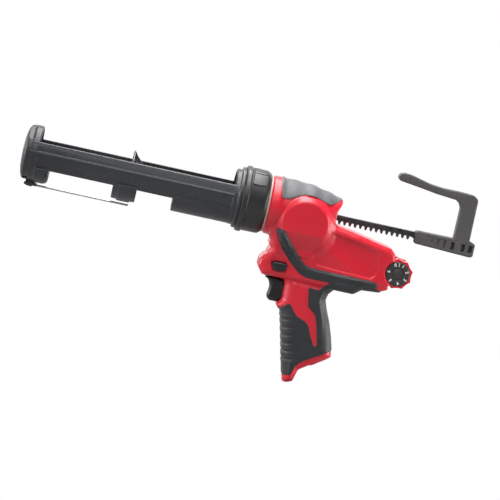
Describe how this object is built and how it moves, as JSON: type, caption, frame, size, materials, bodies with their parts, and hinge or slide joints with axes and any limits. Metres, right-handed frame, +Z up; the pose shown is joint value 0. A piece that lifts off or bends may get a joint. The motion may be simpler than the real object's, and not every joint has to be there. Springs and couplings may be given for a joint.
{
  "type": "cordless caulking gun",
  "caption": "Cordless caulking gun with an open rotating cartridge carriage, locking collar, toothed pusher rack with a hook handle, pistol grip, trigger and speed dial.",
  "frame": {"origin": "centre of the plunger's front face, on the barrel axis, with the plunger half way along the carriage", "axes": "+X along the barrel from the nose towards the hook, +Z up away from the handle, +Y to the tool's right"},
  "size_m": [0.4793, 0.069, 0.2374],
  "materials": {
    "red_shell": "satin moulded",
    "black_frame": "fine moulded texture",
    "grey_rubber": "matt overmould",
    "black_rubber": "matt overmould",
    "pale_plastic": "smooth",
    "dark_steel": "black oxide",
    "bright_steel": "machined",
    "wheel_brass": "machined",
    "green_board": "coated"
  },
  "bodies": {
    "housing": {"housing_left": "red_shell", "housing_right": "red_shell", "top_grip_pad": "grey_rubber", "side_bumper_left": "black_rubber", "side_bumper_right": "black_rubber", "handle_grip_left": "black_rubber", "handle_grip_right": "black_rubber", "neck_seal_ring": "pale_plastic", "housing_screw_1": "dark_steel", "housing_screw_2": "dark_steel", "housing_screw_3": "dark_steel", "housing_screw_4": "dark_steel", "housing_screw_5": "dark_steel", "housing_screw_6": "dark_steel", "trigger_switch": "black_frame", "control_board": "green_board", "battery_terminals": "wheel_brass", "speed_pot": "black_frame", "drive_bearing_left": "bright_steel", "drive_bearing_right": "bright_steel", "rack_guide_front": "black_frame", "rack_guide_rear": "black_frame", "motor_can": "bright_steel", "motor_end_cap": "black_frame", "ring_gear": "bright_steel", "worm_bearing": "bright_steel"},
    "collar": {"locking_collar": "black_frame"},
    "carriage": {"carriage_frame": "black_frame"},
    "wire": {"puncture_wire": "bright_steel"},
    "rack": {"rack_bar": "dark_steel", "plunger_disc": "dark_steel", "plunger_pin": "bright_steel", "hook_handle": "black_frame", "hook_pin": "bright_steel"},
    "pinion": {"drive_shaft": "bright_steel", "drive_pinion": "bright_steel"},
    "wheel": {"worm_wheel": "wheel_brass"},
    "rotor": {"armature": "dark_steel"},
    "carrier": {"planet_carrier": "bright_steel"},
    "planet_1": {"planet_gear_1": "bright_steel"},
    "planet_2": {"planet_gear_2": "bright_steel"},
    "planet_3": {"planet_gear_3": "bright_steel"},
    "trigger": {"trigger": "black_frame"},
    "lock": {"lock_button": "black_frame"},
    "dial": {"dial_axle": "bright_steel", "dial_wheel_left": "red_shell", "dial_wheel_right": "red_shell", "dial_face_left": "black_frame", "dial_face_right": "black_frame"}
  },
  "joints": [
    {"name": "rack_slide", "type": "slide", "parent": "housing", "child": "rack", "axis": [1, 0, 0], "range_m": [-0.07, 0.122]},
    {"name": "pinion_spin", "type": "hinge", "parent": "housing", "child": "pinion", "pos_m": [0.1875, 0, -0.0117], "axis": [0, 1, 0], "range_deg": [-500, 868]},
    {"name": "motor_spin", "type": "hinge", "parent": "housing", "child": "rotor", "pos_m": [0.25, 0.007, -0.0387], "axis": [1, 0, 0], "continuous": true},
    {"name": "carrier_spin", "type": "hinge", "parent": "housing", "child": "carrier", "pos_m": [0.2, 0.007, -0.0387], "axis": [1, 0, 0], "continuous": true},
    {"name": "planet_1_spin", "type": "hinge", "parent": "carrier", "child": "planet_1", "pos_m": [0.2217, 0.0148, -0.0387], "axis": [1, 0, 0], "continuous": true},
    {"name": "planet_2_spin", "type": "hinge", "parent": "carrier", "child": "planet_2", "pos_m": [0.2217, 0.0031, -0.03195], "axis": [1, 0, 0], "continuous": true},
    {"name": "planet_3_spin", "type": "hinge", "parent": "carrier", "child": "planet_3", "pos_m": [0.2217, 0.0031, -0.04546], "axis": [1, 0, 0], "continuous": true},
    {"name": "wheel_spin", "type": "hinge", "parent": "housing", "child": "wheel", "pos_m": [0.1875, 0.007, -0.0117], "axis": [0, 1, 0], "continuous": true},
    {"name": "collar_turn", "type": "hinge", "parent": "housing", "child": "collar", "pos_m": [0.13, 0, 0], "axis": [1, 0, 0], "range_deg": [-47, 0]},
    {"name": "carriage_turn", "type": "hinge", "parent": "housing", "child": "carriage", "pos_m": [0, 0, 0], "axis": [1, 0, 0], "continuous": true},
    {"name": "wire_swing", "type": "hinge", "parent": "carriage", "child": "wire", "pos_m": [-0.099, 0, -0.033], "axis": [0, 1, 0], "range_deg": [0, 180]},
    {"name": "trigger_squeeze", "type": "slide", "parent": "housing", "child": "trigger", "axis": [1, 0, 0], "range_m": [0, 0.006], "stiffness_N_per_m": 400, "springref_m": -0.002},
    {"name": "lock_push", "type": "slide", "parent": "housing", "child": "lock", "axis": [0, 1, 0], "range_m": [0, 0.0045]},
    {"name": "dial_turn", "type": "hinge", "parent": "housing", "child": "dial", "pos_m": [0.2939, 0, -0.0417], "axis": [0, 1, 0], "range_deg": [-128, 128]}
  ],
  "couplings": [
    {"joint": "pinion_spin", "follows": "rack_slide", "rad_per_m": 123.46},
    {"joint": "carrier_spin", "follows": "motor_spin", "ratio": 0.25},
    {"joint": "planet_1_spin", "follows": "motor_spin", "ratio": -0.75},
    {"joint": "planet_2_spin", "follows": "motor_spin", "ratio": -0.75},
    {"joint": "planet_3_spin", "follows": "motor_spin", "ratio": -0.75},
    {"joint": "wheel_spin", "follows": "motor_spin", "ratio": 0.0078125}
  ]
}
